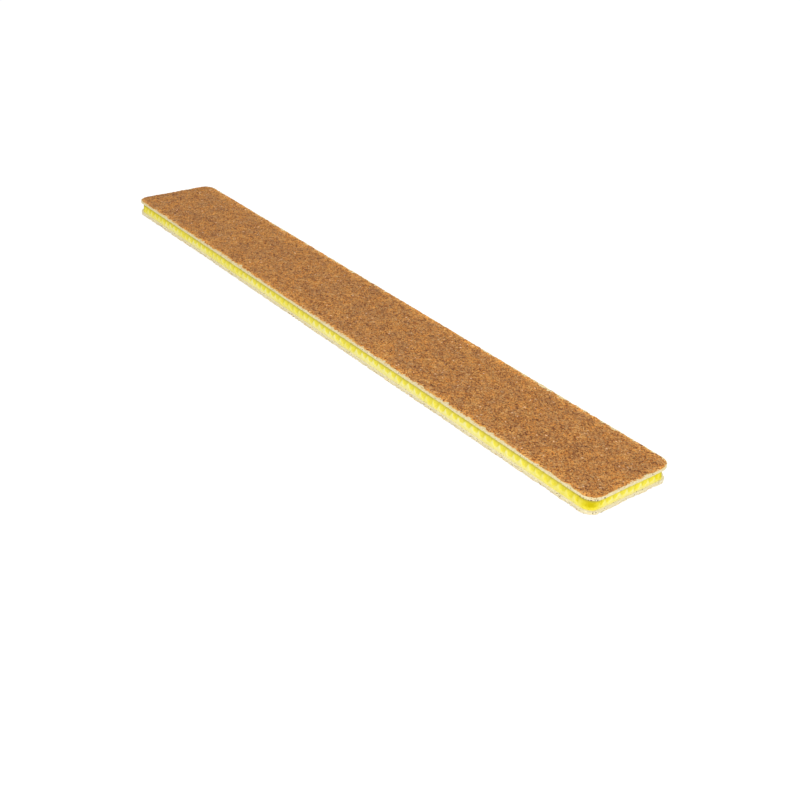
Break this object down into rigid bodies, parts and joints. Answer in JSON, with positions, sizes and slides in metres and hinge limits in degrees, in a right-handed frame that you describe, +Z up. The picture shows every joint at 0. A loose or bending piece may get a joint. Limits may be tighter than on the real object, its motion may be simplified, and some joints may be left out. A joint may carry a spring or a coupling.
{
  "type": "emery board",
  "caption": "Straight flat emery board with rounded corners: a soft foam core with a grooved edge, faced on both sides with paper coated in brown abrasive grain.",
  "frame": {"origin": "centre of the lower abrasive face, on the surface that the board lies on", "axes": "+X along the length, +Y across the width, +Z up through the layers, out of the upper abrasive face"},
  "size_m": [0.178, 0.024, 0.0043],
  "materials": {
    "abrasive_grain": "rough brown abrasive grain, matte with small glints",
    "resin": "dark amber binder coat under the grain",
    "backing_paper": "cream heavyweight paper with fibrous cut edges",
    "glue": "thin clear laminating glue film",
    "foam": "soft fine-celled yellow foam, matte"
  },
  "bodies": {
    "root": {"top_grain_coat": "abrasive_grain", "top_resin_coat": "resin", "top_backing_paper": "backing_paper", "top_glue_film": "glue", "foam_core": "foam", "bottom_glue_film": "glue", "bottom_backing_paper": "backing_paper", "bottom_resin_coat": "resin", "bottom_grain_coat": "abrasive_grain"}
  },
  "joints": []
}
